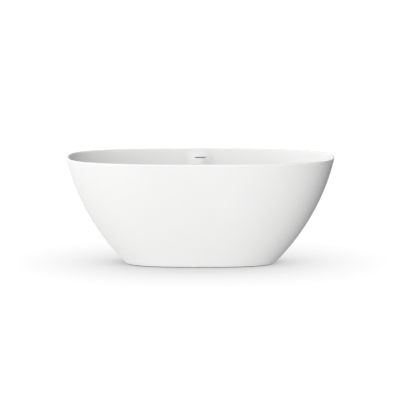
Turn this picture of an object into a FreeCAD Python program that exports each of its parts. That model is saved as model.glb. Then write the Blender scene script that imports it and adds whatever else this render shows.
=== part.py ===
"""Freestanding bathtub: a thin-edged double-walled tub on a hidden cradle with levelling feet, with its
click-clack waste, overflow and trap.  Millimetres, +X along the tub, +Y to the overflow side, +Z up,
origin on the floor under the middle of the tub."""
import FreeCAD, Part
import os
from math import asin, cos, pi, sin, sqrt

Vector = FreeCAD.Vector
X = Vector(1, 0, 0)
Y = Vector(0, 1, 0)
Z = Vector(0, 0, 1)

# ---- Outside of the tub ------------------------------------------------------------------------------
length = 1500.0          # over the rim
width = 720.0
height = 600.0
base_length = 840.0      # outline of the skirt's foot
base_width = 410.0
floor_gap = 4.0          # shadow gap under the skirt
flank_bulge = 48.0       # how far the flared flank stands outside a straight line
rim_power = 2.9          # squareness of the plan outline: 2 is an ellipse
base_power = 2.65

# ---- Shells and rim ----------------------------------------------------------------------------------
basin_wall = 8.0         # walls are measured level
skirt_wall = 7.0
shell_gap = 1.5          # between the two shells just under the lip
lip_height = 12.0        # depth of the basin's lip over the skirt
outer_edge_radius = 7.0
inner_edge_radius = 6.0
bond_thickness = 1.0     # adhesive between lip and skirt

# ---- Bathing well ------------------------------------------------------------------------------------
end_inset = 75.0         # outside of the tub to inside of the well, at the well's floor
side_inset = 53.0
inset_power = 1.8        # how late the well leaves the flank on its way down
floor_radius = 80.0
floor_thickness = 15.0
dish_margin = 12.0       # level rim of floor round the fall to the waste
dish_depth = 3.0

# ---- Overflow ridge and slot -------------------------------------------------------------------------
ridge_width = 168.0
ridge_depth = 26.0
ridge_rim_share = 0.2    # share of the ridge's depth that is left at the rim
ridge_rise = 75.0        # height over which the ridge grows below the rim
ridge_foot = 230.0       # where the ridge dies out above the floor
ridge_fade = 100.0
ridge_margin = 1.15      # closely spaced part of the outline, against the ridge itself
slot_drop = 48.0         # slot centre below the rim
slot_width = 62.0
slot_height = 6.0

# ---- Cradle ------------------------------------------------------------------------------------------
foot_height = 90.0       # floor to the underside of the leg bars
bar_size = 30.0
bar_wall = 2.0
bar_end_gap = 15.0       # bar's end to the skirt's foot
bar_x = 260.0
board_thickness = 15.0
board_length = 620.0
board_width = 220.0
board_corner = 30.0
board_gap = 8.0          # board to the waste's flange
foot_y = 120.0
block_length = 60.0      # along X, where the skirt is tied to a bar's end
screw_radius = 2.5
screw_head_radius = 4.5
screw_head_height = 2.5
screw_bite = 10.0        # how far a screw enters the wood
screw_clearance = 0.3
stud_clearance = 0.5
board_screw_y = (40.0, 85.0)

# ---- Levelling feet ----------------------------------------------------------------------------------
pad_radius = 28.0
pad_thickness = 8.0
pad_boss_radius = 12.0
pad_boss_top = 22.0
pad_edge = 2.0
socket_floor = 5.0
stud_radius = 6.0        # M12
stud_wrench = 17.0       # across the flats of the stud's hexagon
stud_hex_height = 7.0
stud_hex_gap = 2.0
stud_headroom = 2.0      # stud's top to the inside of the bar
nut_wrench = 19.0
nut_height = 10.0
running = 0.05           # radial clearance of a turning or sliding fit

# ---- Waste -------------------------------------------------------------------------------------------
drain_hole_radius = 26.0
flange_radius = 36.0
flange_thickness = 3.0
flange_edge = 1.0        # broken edges of the flange
flange_margin = 2.0      # recess around the flange
flange_seal_thickness = 1.5
tail_radius = 24.0
tail_wall = 2.5
tail_engagement = 10.0   # thread length of the flange's tail in the waste body
body_seal_thickness = 3.0
body_flange_radius = 38.0
body_flange_thickness = 4.0
chamber_radius = 30.0
chamber_wall = 3.0
chamber_drop = 69.0      # underside of the well to the chamber's underside
outlet_drop = 45.0       # underside of the well to the axis of the outlet to the trap
outlet_bore = 20.0
outlet_wall = 3.0
outlet_reach = 50.0

# ---- Click-clack plug --------------------------------------------------------------------------------
hub_radius = 9.5
hub_height = 5.0
hub_lift = 1.0           # tail's end to the hub and its spokes
spoke_width = 3.0
latch_radius = 7.0
latch_bore = 5.2
latch_depth = 30.0
latch_rise = 5.0         # housing above the hub
latch_floor = 2.0
stem_radius = 3.0
collar_height = 5.0
spring_length = 14.0     # pressed down, plug shut
spring_wire = 0.5
spring_turns = 5
spring_play = 0.2        # coil inside the latch's bore
cap_radius = 31.0
cap_thickness = 5.0
cap_crown = 1.5
cap_edge = 1.5
cap_web = 1.0            # stem's end to the cap's underside
plug_seal_height = 2.0
plug_seal_width = 5.0
boss_radius = 6.0
boss_depth = 9.0

# ---- Overflow box and hose ---------------------------------------------------------------------------
box_wall = 2.0
box_side = 4.0           # inside of the box beyond the slot's ends
box_above = 18.0         # slot centre to the box's inside top
box_below = 16.0
box_skirt_gap = 1.6
overflow_seal_thickness = 1.5
spigot_radius = 8.0
spigot_wall = 1.5
spigot_length = 22.0
hose_wall = 2.0
hose_drop = 35.0         # underside of the well to the hose's run under it
hose_turn_gap = 33.0     # skirt to the corner where the hose turns in
hose_turn_rise = 90.0    # that run to the last bend above it
hose_bends = 4
hose_bend_share = 0.45   # part of each straight run that the bend beside it may take
hose_end_gap = 1.0       # hose's end to the part it is pushed towards
clip_thickness = 1.2
clip_width = 8.0
clip_ear = 7.0

# ---- Trap --------------------------------------------------------------------------------------------
trap_x = -120.0
trap_radius = 44.0
trap_wall = 3.0
trap_bottom = 8.0
trap_rise = 26.0         # inlet's axis to the cup's rim
lid_height = 8.0
lid_radius = 47.0
lid_top = 2.0
lid_gap = 4.0            # lid to the dip tube
lid_notch = 1.0          # lid's skirt round the cup's inlet
dip_x = -105.0
dip_radius = 19.5
dip_wall = 2.0
dip_spigot_wall = 3.0    # of the level end in the inlet
dip_gap = 8.0            # dip tube's end to the cup's underside
weir_drop = 4.0          # inlet's axis to the outlet's
stub_length = 16.0
pipe_radius = 20.0       # 40 mm waste pipe
pipe_clearance = 0.15
elbow_wall = 3.5
elbow_x = -196.0
pipe_socket = 28.0       # depth that the floor pipe stands in the elbow
socket_shelf = 4.0       # between the elbow's two sockets
seal_relief = 1.0        # free seal's bore round the pipe, before its nut squeezes it
union_seal = 2.0
union_flange = 3.0
union_step = 2.0         # thread to the neck behind the flange
union_nut_length = 22.0
outlet_nut_length = 18.0
socket_gap = 4.0         # cup's side to the elbow's socket
nut_rib_height = 1.2
nut_wall = 5.0
nut_lip = 3.0
nut_ribs = 12

# ---- Levels and fits that follow from the sizes above ------------------------------------------------
bar_bottom = foot_height
bar_top = bar_bottom + bar_size
bar_half_span = base_width / 2 - bar_end_gap
board_top = bar_top + board_thickness
chamber_floor = board_top - chamber_drop
outlet_z = board_top - outlet_drop
hose_z = board_top - hose_drop
weir_z = outlet_z - weir_drop
elbow_mouth = weir_z - pipe_radius - socket_shelf - pipe_socket
trap_top = outlet_z + trap_rise
dip_end = trap_bottom + dip_gap
well_floor = board_top + floor_thickness
lip_bottom = height - lip_height
skirt_top = lip_bottom - bond_thickness
rim_thickness = basin_wall + skirt_wall + shell_gap
slot_z = height - slot_drop
dish_bottom = well_floor - dish_depth
seat_z = dish_bottom - flange_thickness - flange_seal_thickness
hose_bore = spigot_radius + running
hose_radius = hose_bore + hose_wall
overlap = 1.0            # how far one solid runs into the next before they are joined or cut


def flank_arc(low, high, bulge):
    """Circular arc through two (size, z) points, its middle standing bulge outside their chord."""
    run = high[0] - low[0]
    rise = high[1] - low[1]
    chord = sqrt(run * run + rise * rise)
    radius = (chord * chord / 4 + bulge * bulge) / (2 * bulge)
    centre_size = (low[0] + high[0]) / 2 - (radius - bulge) * rise / chord
    centre_z = (low[1] + high[1]) / 2 + (radius - bulge) * run / chord

    def size_at(z):
        return centre_size + sqrt(radius * radius - (z - centre_z) ** 2)

    return size_at


def overhang(lean):
    """How far the flank would run past the rim's widest line if its top edge were not rounded."""
    return outer_edge_radius * (lean + 1 - sqrt(1 + lean * lean))


rim_arc = flank_arc((base_length / 2, floor_gap), (length / 2, height), flank_bulge)
end_lean = rim_arc(height) - rim_arc(height - 1)
side_lean = end_lean * (width - base_width) / (length - base_length)
rim_half_length = length / 2 + overhang(end_lean)
rim_half_width = width / 2 + overhang(side_lean)
end_flank = flank_arc((base_length / 2, floor_gap), (rim_half_length, height), flank_bulge)


def outside_at(z):
    """Half length, half width and squareness of the outside at a height."""
    half_length = end_flank(z)
    flare = (half_length - base_length / 2) / (rim_half_length - base_length / 2)
    half_width = base_width / 2 + flare * (rim_half_width - base_width / 2)
    return half_length, half_width, base_power + flare * (rim_power - base_power)


def well_at(z):
    """Half length, half width and squareness of the inside of the well at a height."""
    half_length, half_width, power = outside_at(z)
    depth = ((height - z) / (height - well_floor)) ** inset_power
    end = rim_thickness + (end_inset - rim_thickness) * depth
    side = rim_thickness + (side_inset - rim_thickness) * depth
    return half_length - end, half_width - side, power


def smooth_step(value):
    share = min(1.0, max(0.0, value))
    return share * share * (3 - 2 * share)


def ridge_at(z):
    """How far the overflow ridge stands into the well at a height."""
    grown = (1 - cos(pi * min(1.0, (height - z) / ridge_rise))) / 2
    share = ridge_rim_share + (1 - ridge_rim_share) * grown
    return ridge_depth * share * smooth_step((z - ridge_foot) / ridge_fade)


def outline(half_length, half_width, power, z, ridge, angles):
    """Closed smooth outline in a level plane, pressed in by the ridge in the middle of the +Y side."""
    points = []
    for angle in angles:
        c = cos(angle)
        s = sin(angle)
        reach = (abs(c) ** power + abs(s) ** power) ** (-1 / power)
        x = half_length * c * reach
        y = half_width * s * reach
        if s > 0 and abs(x) < ridge_width / 2:
            y -= ridge * cos(pi * x / ridge_width) ** 2
        points.append(Vector(x, y, z))
    curve = Part.BSplineCurve()
    steps = list(angles) + [angles[0] + 2 * pi]
    curve.interpolate(Points=points, PeriodicFlag=True, Parameters=steps)
    return Part.Wire(curve.toShape())


def spread(start, end, count):
    return [start + (end - start) * i / count for i in range(count)]


even_angles = spread(pi / 2, 5 * pi / 2, 40)
ridge_span = ridge_margin * asin(ridge_width / 2 / well_at(ridge_foot)[0])
ridged_angles = spread(-pi / 2, pi / 2 - ridge_span, 18)
ridged_angles += spread(pi / 2 - ridge_span, pi / 2 + ridge_span, 12)
ridged_angles += spread(pi / 2 + ridge_span, 3 * pi / 2, 18)


def rounding(radius):
    """Quarter round as (distance in from the side, distance down from the top), side first."""
    turns = spread(0, pi / 2, 5) + [pi / 2]
    return [(radius * (1 - cos(turn)), radius * (1 - sin(turn))) for turn in turns]


def outside_body(low, high, inset, sections, edge=0):
    """Solid inside the tub's outer form between two levels, smaller by inset, its top edge rounded by edge."""
    levels = [(z, inset) for z in spread(low, high - edge, sections)]
    if edge:
        levels += [(high - down, inset + away) for away, down in rounding(edge)]
    else:
        levels.append((high, inset))
    wires = []
    for z, smaller in levels:
        half_length, half_width, power = outside_at(z)
        wires.append(outline(half_length - smaller, half_width - smaller, power, z, 0, even_angles))
    return Part.makeLoft(wires, True, False)


def well_body(low, high, wall, corner, edge=0):
    """Solid that fills the well, larger by wall, its bottom corner rounded and its mouth flared by edge."""
    levels = [(low + up, wall - away) for away, up in reversed(rounding(corner))]
    levels += [(z, wall) for z in spread(low + corner, high - edge, 9)[1:]]
    if edge:
        levels += [(high - down, wall + away) for away, down in rounding(edge)]
    else:
        levels.append((high, wall))
    wires = []
    for z, larger in levels:
        half_length, half_width, power = well_at(z)
        wires.append(outline(half_length + larger, half_width + larger, power, z, ridge_at(z), ridged_angles))
    return Part.makeLoft(wires, True, False)


def edges_at(shape, z):
    """Edges that lie wholly in one level plane."""
    found = []
    for edge in shape.Edges:
        box = edge.BoundBox
        if abs(box.ZMin - z) < 0.01 and abs(box.ZMax - z) < 0.01:
            found.append(edge)
    return found


def rod(radius, low, high, x=0.0, y=0.0):
    return Part.makeCylinder(radius, high - low, Vector(x, y, low))


def tube(outer, inner, low, high, x=0.0, y=0.0):
    return rod(outer, low, high, x, y).cut(rod(inner, low, high, x, y))


def block(x0, x1, y0, y1, z0, z1):
    return Part.makeBox(x1 - x0, y1 - y0, z1 - z0, Vector(x0, y0, z0))


def hexagon(wrench, low, high, x, y):
    corner = wrench / 2 / cos(pi / 6)
    points = []
    for i in range(7):
        points.append(Vector(x + corner * cos(i * pi / 3), y + corner * sin(i * pi / 3), low))
    return Part.Face(Part.makePolygon(points)).extrude(Vector(0, 0, high - low))


def spun(profile):
    """Solid of revolution about Z from (radius, z) points."""
    points = [Vector(r, 0, z) for r, z in profile]
    return Part.Face(Part.makePolygon(points + [points[0]])).revolve(Vector(0, 0, 0), Z, 360)


os.makedirs("parts", exist_ok=True)


def save(name, *solids):
    shape = solids[0] if len(solids) == 1 else Part.makeCompound(list(solids))
    shape.exportStep("parts/" + name + ".step")
    valid = shape.isValid() and all(s.isValid() for s in shape.Solids)
    print(name, len(shape.Solids), "solids", round(shape.Volume / 1000, 1), "cm3", "ok" if valid else "INVALID")


# ---- Basin: well, rim and lip in one casting ---------------------------------------------------------
lip = outside_body(lip_bottom, height, 0, 2, outer_edge_radius)
bowl = well_body(board_top, lip_bottom, basin_wall, floor_radius + basin_wall)
well = well_body(well_floor, height, 0, floor_radius, inner_edge_radius)
slot_y = well_at(slot_z)[1] - ridge_at(slot_z)
slot_reach = 2 * basin_wall
slot_half = (slot_width - slot_height) / 2
slot = block(-slot_half, slot_half, slot_y - slot_reach, slot_y + slot_reach, slot_z - slot_height / 2,
             slot_z + slot_height / 2)
for side in (-1, 1):
    slot_end = Vector(side * slot_half, slot_y - slot_reach, slot_z)
    slot = slot.fuse(Part.makeCylinder(slot_height / 2, 2 * slot_reach, slot_end, Y))
recess_radius = flange_radius + flange_margin
dish_radius = well_at(well_floor)[1] - floor_radius - dish_margin
dish = Part.makeCone(recess_radius, dish_radius, dish_depth, Vector(0, 0, dish_bottom))
basin = lip.fuse(bowl).cut(well)
basin = basin.cut(slot).cut(dish).cut(rod(recess_radius, seat_z, dish_bottom + overlap))
basin = basin.cut(rod(drain_hole_radius, board_top - overlap, seat_z + overlap))
save("basin", basin)

# ---- Skirt: the outer shell, and the adhesive that joins it to the basin's lip ------------------------
skirt = outside_body(floor_gap, skirt_top, 0, 10).cut(outside_body(floor_gap, skirt_top, skirt_wall, 10))
save("skirt", skirt)
bond = outside_body(skirt_top, lip_bottom, 0, 2).cut(outside_body(skirt_top, lip_bottom, skirt_wall, 2))
save("rim_bond", bond)

# ---- Cradle: plywood board bonded under the well, two leg bars, and blocks that tie the skirt's foot ----
sides = {"left": -1, "right": 1}
faces = {"front": -1, "back": 1}
corners = {face + "_" + side: (sides[side], faces[face]) for face in faces for side in sides}

board = block(-board_length / 2, board_length / 2, -board_width / 2, board_width / 2, bar_top, board_top)
upright = [edge for edge in board.Edges if abs(edge.BoundBox.ZLength - board_thickness) < 0.01]
board = board.makeFillet(board_corner, upright)
board = board.cut(rod(body_flange_radius + board_gap, bar_top, board_top))
board_screws = []
screw_tip = bar_top + screw_bite
for side in sides.values():
    for face in faces.values():
        for y in board_screw_y:
            shank = rod(screw_radius, bar_bottom, screw_tip, side * bar_x, face * y)
            head = rod(screw_head_radius, bar_bottom - screw_head_height, bar_bottom, side * bar_x, face * y)
            board_screws.append(shank.fuse(head).removeSplitter())
            board = board.cut(rod(screw_radius, bar_bottom, screw_tip, side * bar_x, face * y))
save("base_board", board)
save("board_screws", *board_screws)

block_screws = []
for name, side in sides.items():
    middle = side * bar_x
    bar = block(middle - bar_size / 2, middle + bar_size / 2, -bar_half_span, bar_half_span, bar_bottom, bar_top)
    bar = bar.cut(block(middle - bar_size / 2 + bar_wall, middle + bar_size / 2 - bar_wall,
                        bar_wall - bar_half_span, bar_half_span - bar_wall,
                        bar_bottom + bar_wall, bar_top - bar_wall))
    for face in faces.values():
        for y in board_screw_y:
            bar = bar.cut(rod(screw_radius + screw_clearance, bar_bottom, bar_top, middle, face * y))
        bar = bar.cut(rod(stud_radius + stud_clearance, bar_bottom, bar_bottom + bar_wall, middle, face * foot_y))
        end = Vector(middle, face * (bar_half_span - bar_wall), bar_bottom + bar_size / 2)
        tip = bar_wall + screw_bite
        shank = Part.makeCylinder(screw_radius, tip, end, Y * face)
        head = Part.makeCylinder(screw_head_radius, screw_head_height, end, Y * -face)
        bar = bar.cut(Part.makeCylinder(screw_radius + screw_clearance, bar_wall, end, Y * face))
        block_screws.append(shank.fuse(head).removeSplitter())
    save("leg_bar_" + name, bar)
save("block_screws", *block_screws)

inside_skirt = outside_body(bar_bottom - bar_size, bar_top + bar_size, skirt_wall, 4)
for name, (side, face) in corners.items():
    middle = side * bar_x
    near = face * bar_half_span
    far = face * base_width
    tie = block(middle - block_length / 2, middle + block_length / 2, min(near, far), max(near, far),
                bar_bottom, bar_top)
    tie = tie.common(inside_skirt)
    hole = Vector(middle, near, bar_bottom + bar_size / 2)
    save("skirt_block_" + name, tie.cut(Part.makeCylinder(screw_radius, screw_bite, hole, Y * face)))

# ---- Levelling feet: nut welded in the bar, lock nut under it, threaded stud, pad that swivels on it ----
weld_nuts = []
lock_nuts = []
stud_top = bar_top - bar_wall - stud_headroom
hex_bottom = pad_boss_top + stud_hex_gap
for name, (side, face) in corners.items():
    x = side * bar_x
    y = face * foot_y
    low = bar_bottom + bar_wall
    bore = rod(stud_radius + running, 0, bar_top, x, y)
    weld_nuts.append(hexagon(nut_wrench, low, low + nut_height, x, y).cut(bore))
    lock_nuts.append(hexagon(nut_wrench, bar_bottom - nut_height, bar_bottom, x, y).cut(bore))
    stud = rod(stud_radius, socket_floor, stud_top, x, y)
    stud = stud.fuse(hexagon(stud_wrench, hex_bottom, hex_bottom + stud_hex_height, x, y))
    pad = rod(pad_radius, 0, pad_thickness, x, y)
    pad = pad.makeFillet(pad_edge, edges_at(pad, pad_thickness))
    pad = pad.fuse(rod(pad_boss_radius, 0, pad_boss_top, x, y)).removeSplitter()
    pad = pad.cut(rod(stud_radius + running, socket_floor, pad_boss_top, x, y))
    save("foot_stud_" + name, stud)
    save("foot_pad_" + name, pad)
save("weld_nuts", *weld_nuts)
save("lock_nuts", *lock_nuts)

# ---- Waste: chrome flange, its seals, and the chamber under the well -----------------------------------
flange_bottom = dish_bottom - flange_thickness
tail_bottom = board_top - body_seal_thickness - tail_engagement
tail_bore = tail_radius - tail_wall
flange = spun([(tail_bore, flange_bottom), (flange_radius, flange_bottom),
               (flange_radius, dish_bottom - flange_edge), (flange_radius - flange_edge, dish_bottom),
               (tail_bore + flange_edge, dish_bottom), (tail_bore, dish_bottom - flange_edge)])
flange = flange.fuse(tube(tail_radius, tail_bore, tail_bottom, flange_bottom)).removeSplitter()
hub_bottom = tail_bottom + hub_lift
hub_top = hub_bottom + hub_height
for turn in range(3):
    spoke = block(0, tail_bore + overlap, -spoke_width / 2, spoke_width / 2, hub_bottom, hub_top)
    spoke.rotate(Vector(0, 0, 0), Z, 120 * turn + 60)
    flange = flange.fuse(spoke)
flange = flange.fuse(rod(hub_radius, hub_bottom, hub_top)).cut(rod(latch_radius, hub_bottom, hub_top))
save("waste_flange", flange)
save("flange_seal", tube(flange_radius, drain_hole_radius, seat_z, flange_bottom))

body_top = board_top - body_seal_thickness
save("waste_body_seal", tube(body_flange_radius, drain_hole_radius, body_top, board_top))
chamber_bore = chamber_radius - chamber_wall
outlet_start = Vector(0, 0, outlet_z)
waste_body = rod(chamber_radius, chamber_floor, body_top)
waste_body = waste_body.fuse(rod(body_flange_radius, body_top - body_flange_thickness, body_top))
waste_body = waste_body.fuse(Part.makeCylinder(outlet_bore + outlet_wall, outlet_reach, outlet_start, -X))
inlet_start = Vector(0, 0, hose_z)
inlet_reach = chamber_radius + spigot_length
waste_body = waste_body.fuse(Part.makeCylinder(spigot_radius, inlet_reach, inlet_start, Y))
waste_body = waste_body.cut(rod(chamber_bore, chamber_floor + chamber_wall, tail_bottom))
waste_body = waste_body.cut(rod(tail_radius + running, tail_bottom, body_top))
waste_body = waste_body.cut(Part.makeCylinder(outlet_bore, outlet_reach, outlet_start, -X))
waste_body = waste_body.cut(Part.makeCylinder(spigot_radius - spigot_wall, inlet_reach, inlet_start, Y))
save("waste_body", waste_body.removeSplitter())

# ---- Click-clack plug: latch housing screwed in the flange's hub, spring, stem, cap and seal ----------
latch_top = hub_top + latch_rise
latch_bottom = latch_top - latch_depth
latch = rod(latch_radius, latch_bottom, latch_top)
save("latch_housing", latch.cut(rod(latch_bore, latch_bottom + latch_floor, latch_top)))
spring_bottom = latch_bottom + latch_floor
collar_bottom = spring_bottom + spring_length
cap_bottom = dish_bottom + plug_seal_height
boss_bottom = cap_bottom - boss_depth
stem_top = cap_bottom - cap_web
stem = rod(stem_radius, collar_bottom, stem_top)
save("plug_stem", stem.fuse(rod(latch_bore - 2 * running, collar_bottom, collar_bottom + collar_height)))
coil_radius = latch_bore - 2 * running - spring_wire - spring_play
coil_height = spring_length - 2 * spring_wire
coil = Part.makeHelix(coil_height / spring_turns, coil_height, coil_radius)
wire_face = Part.Wire(Part.makeCircle(spring_wire, Vector(coil_radius, 0, 0), Y))
spring = Part.Wire(coil).makePipeShell([wire_face], True, True)
spring.translate(Vector(0, 0, spring_bottom + spring_wire))
save("latch_spring", spring)
cap = spun([(0, cap_bottom), (cap_radius, cap_bottom), (cap_radius, cap_bottom + cap_thickness - cap_crown),
            (0, cap_bottom + cap_thickness - cap_crown)])
cap_dome_radius = (cap_radius ** 2 + cap_crown ** 2) / (2 * cap_crown)
dome_centre = Vector(0, 0, cap_bottom + cap_thickness - cap_dome_radius)
dome = Part.makeSphere(cap_dome_radius, dome_centre).common(rod(cap_radius, cap_bottom, height))
cap = cap.fuse(dome).removeSplitter()
cap = cap.makeFillet(cap_edge, edges_at(cap, cap_bottom + cap_thickness - cap_crown))
cap = cap.fuse(rod(boss_radius, boss_bottom, cap_bottom)).cut(rod(stem_radius, boss_bottom, stem_top))
save("plug_cap", cap)
seal_outer = cap_radius - cap_edge
save("plug_seal", tube(seal_outer, seal_outer - plug_seal_width, dish_bottom, cap_bottom))


def well_side(z):
    """Face of the basin behind the ridge, seen only from inside the cavity."""
    return well_at(z)[1] + basin_wall - ridge_at(z)


def skirt_side(z):
    """Inside of the skirt in the middle of its back."""
    return outside_at(z)[1] - skirt_wall


# ---- Overflow: box behind the slot, gasket, hose down to the waste, and its two clips -----------------
box_inner = slot_width / 2 + box_side
box_outer = box_inner + box_wall
box_low = slot_z - box_below - box_wall
box_high = slot_z + box_above + box_wall
box_back = skirt_side(box_low) - box_skirt_gap
box_front = well_at(box_low)[1] - ridge_depth
raw = block(-box_outer, box_outer, box_front, box_back, box_low, box_high)
hollow = block(-box_inner, box_inner, box_front, box_back - box_wall, box_low + box_wall, box_high - box_wall)
sealed = bowl.copy()
sealed.translate(Y * overflow_seal_thickness)
gasket = raw.cut(hollow).common(sealed).cut(bowl)
save("overflow_seal", gasket)
spigot_low = box_low - spigot_length
hose_straight = spigot_low - clip_width
spigot_y = (well_side(box_low) + skirt_side(hose_straight)) / 2
overflow_box = raw.cut(hollow).cut(sealed)
overflow_box = overflow_box.fuse(rod(spigot_radius, spigot_low, box_low, 0, spigot_y))
overflow_box = overflow_box.cut(rod(spigot_radius - spigot_wall, spigot_low, box_low + box_wall, 0, spigot_y))
save("overflow_box", overflow_box)


def bent_path(points):
    """Straight runs joined by tangent arcs, each as large as its two runs allow."""
    edges = []
    start = points[0]
    for before, corner, after in zip(points, points[1:], points[2:]):
        inward = (before - corner).normalize()
        outward = (after - corner).normalize()
        half_turn = (pi - inward.getAngle(outward)) / 2
        shorter = min((before - corner).Length, (after - corner).Length)
        reach = hose_bend_share * shorter
        radius = reach / (sin(half_turn) / cos(half_turn))
        arc_start = corner + inward * reach
        arc_end = corner + outward * reach
        to_centre = (inward + outward).normalize()
        middle = corner + to_centre * (radius / cos(half_turn) - radius)
        edges.append(Part.LineSegment(start, arc_start).toShape())
        edges.append(Part.Arc(arc_start, middle, arc_end).toShape())
        start = arc_end
    edges.append(Part.LineSegment(start, points[-1]).toShape())
    return Part.Wire(edges)


hose_points = [Vector(0, spigot_y, box_low - hose_end_gap), Vector(0, spigot_y, hose_straight)]
hose_turn_y = skirt_side(hose_z) - hose_turn_gap
for i in range(1, hose_bends + 1):
    z = hose_straight - (hose_straight - hose_z - hose_turn_rise) * i / hose_bends
    hose_points.append(Vector(0, (well_side(z) + skirt_side(z)) / 2, z))
hose_points.append(Vector(0, hose_turn_y, hose_z))
hose_points.append(Vector(0, chamber_radius + hose_end_gap, hose_z))
path = bent_path(hose_points)
start_ring = Part.Wire(Part.makeCircle(hose_radius, hose_points[0], Z))
start_bore = Part.Wire(Part.makeCircle(hose_bore, hose_points[0], Z))
hose = path.makePipeShell([start_ring], True, False).cut(path.makePipeShell([start_bore], True, False))
save("overflow_hose", hose)
upper_clip = tube(hose_radius + clip_thickness, hose_radius, spigot_low + clip_width / 2,
                  spigot_low + clip_width * 3 / 2, 0, spigot_y)
upper_ear = block(hose_radius + clip_thickness / 2, hose_radius + clip_width, spigot_y - clip_ear / 2,
                  spigot_y + clip_ear / 2, spigot_low + clip_width / 2, spigot_low + clip_width * 3 / 2)
save("upper_hose_clip", upper_clip.fuse(upper_ear))
clip_start = Vector(0, inlet_reach - 2 * clip_width, hose_z)
lower_clip = Part.makeCylinder(hose_radius + clip_thickness, clip_width, clip_start, Y)
lower_ear = block(hose_radius + clip_thickness / 2, hose_radius + clip_width, clip_start.y,
                  clip_start.y + clip_width, hose_z - clip_ear / 2, hose_z + clip_ear / 2)
lower_clip = lower_clip.fuse(lower_ear).cut(Part.makeCylinder(hose_radius, clip_width, clip_start, Y))
save("lower_hose_clip", lower_clip)


# ---- Trap: cup with its inlet, dip tube, lid, union to the waste, and an elbow down to the floor pipe --
def ribbed_nut(thread, throat, length, lip):
    """Plastic union nut along +Z from z = 0: a lip with a smaller throat, then the thread."""
    outer = thread + nut_wall
    nut = rod(outer, 0, length)
    for i in range(nut_ribs):
        rib = block(outer - overlap, outer + nut_rib_height, -nut_rib_height, nut_rib_height, 0, length)
        rib.rotate(Vector(0, 0, 0), Z, 360 * i / nut_ribs)
        nut = nut.fuse(rib)
    return nut.cut(rod(throat, 0, lip)).cut(rod(thread, lip, length)).removeSplitter()


thread_radius = outlet_bore + outlet_wall
union_x = -outlet_reach - union_seal
flange_x = union_x - union_flange
inlet = Vector(flange_x, 0, outlet_z)
cup = rod(trap_radius, trap_bottom, trap_top, trap_x)
cup = cup.fuse(Part.makeCylinder(thread_radius - union_step, flange_x - trap_x, Vector(trap_x, 0, outlet_z), X))
cup = cup.fuse(Part.makeCylinder(thread_radius - running, union_flange, inlet, X))
stub_x = trap_x - trap_radius
stub_start = Vector(trap_x, 0, weir_z)
cup = cup.fuse(Part.makeCylinder(pipe_radius, trap_radius + stub_length, stub_start, -X))
cup = cup.cut(rod(trap_radius - trap_wall, trap_bottom + trap_wall, trap_top, trap_x))
cup = cup.cut(Part.makeCylinder(outlet_bore, -trap_x, Vector(trap_x, 0, outlet_z), X))
cup = cup.cut(Part.makeCylinder(pipe_radius - trap_wall, trap_radius + stub_length, stub_start, -X))
save("trap_body", cup.removeSplitter())
lid = rod(lid_radius, trap_top - lid_height, trap_top + lid_top, trap_x)
lid = lid.cut(rod(trap_radius + running, trap_top - lid_height, trap_top, trap_x))
neck = thread_radius - union_step + lid_notch
lid = lid.cut(Part.makeCylinder(neck, lid_radius, Vector(trap_x, 0, outlet_z), X))
save("trap_lid", lid)
dip_start = Vector(dip_x, 0, outlet_z)
dip_reach = inlet.x - dip_x - union_flange
dip = rod(dip_radius, dip_end, trap_top - lid_gap, dip_x)
dip = dip.fuse(Part.makeCylinder(outlet_bore - running, dip_reach, dip_start, X))
dip = dip.cut(rod(dip_radius - dip_wall, dip_end, trap_top - lid_gap - dip_wall, dip_x))
dip = dip.cut(Part.makeCylinder(outlet_bore - dip_spigot_wall, dip_reach, dip_start, X))
save("dip_tube", dip)
seal = Part.makeCylinder(thread_radius, union_seal, Vector(union_x, 0, outlet_z), X)
save("union_seal", seal.cut(Part.makeCylinder(outlet_bore, union_seal, Vector(union_x, 0, outlet_z), X)))
nut = ribbed_nut(thread_radius + running, thread_radius - union_step + running, union_nut_length, nut_lip)
nut.rotate(Vector(0, 0, 0), Y, 90)
nut.translate(Vector(flange_x - nut_lip, 0, outlet_z))
save("union_nut", nut)

elbow_bore = pipe_radius + pipe_clearance
elbow_outer = elbow_bore + elbow_wall
corner = Vector(elbow_x, 0, weir_z)
socket_x = stub_x - socket_gap
elbow = Part.makeCylinder(elbow_outer, socket_x - elbow_x, corner, X)
elbow = elbow.fuse(rod(elbow_outer, elbow_mouth, weir_z, elbow_x)).fuse(Part.makeSphere(elbow_outer, corner))
waterway = pipe_radius - trap_wall
bore = Part.makeCylinder(waterway, socket_x - elbow_x, corner, X)
bore = bore.fuse(rod(waterway, elbow_mouth, weir_z, elbow_x)).fuse(Part.makeSphere(waterway, corner))
stub_end = Vector(stub_x - stub_length, 0, weir_z)
bore = bore.fuse(Part.makeCylinder(elbow_bore, stub_length - socket_gap, stub_end, X))
bore = bore.fuse(rod(elbow_bore, elbow_mouth, elbow_mouth + pipe_socket, elbow_x))
save("outlet_elbow", elbow.cut(bore).removeSplitter())
seal_low = elbow_mouth - union_seal
save("outlet_seal", tube(elbow_outer, elbow_bore + seal_relief, seal_low, elbow_mouth, elbow_x))
nut = ribbed_nut(elbow_outer + running, elbow_bore + seal_relief, outlet_nut_length, nut_lip)
nut.translate(Vector(elbow_x, 0, seal_low - nut_lip))
save("outlet_nut", nut)
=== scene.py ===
from math import atan2, cos, hypot, pi, radians, sin, sqrt

import bmesh
import bpy
from mathutils import Matrix, Vector


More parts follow.
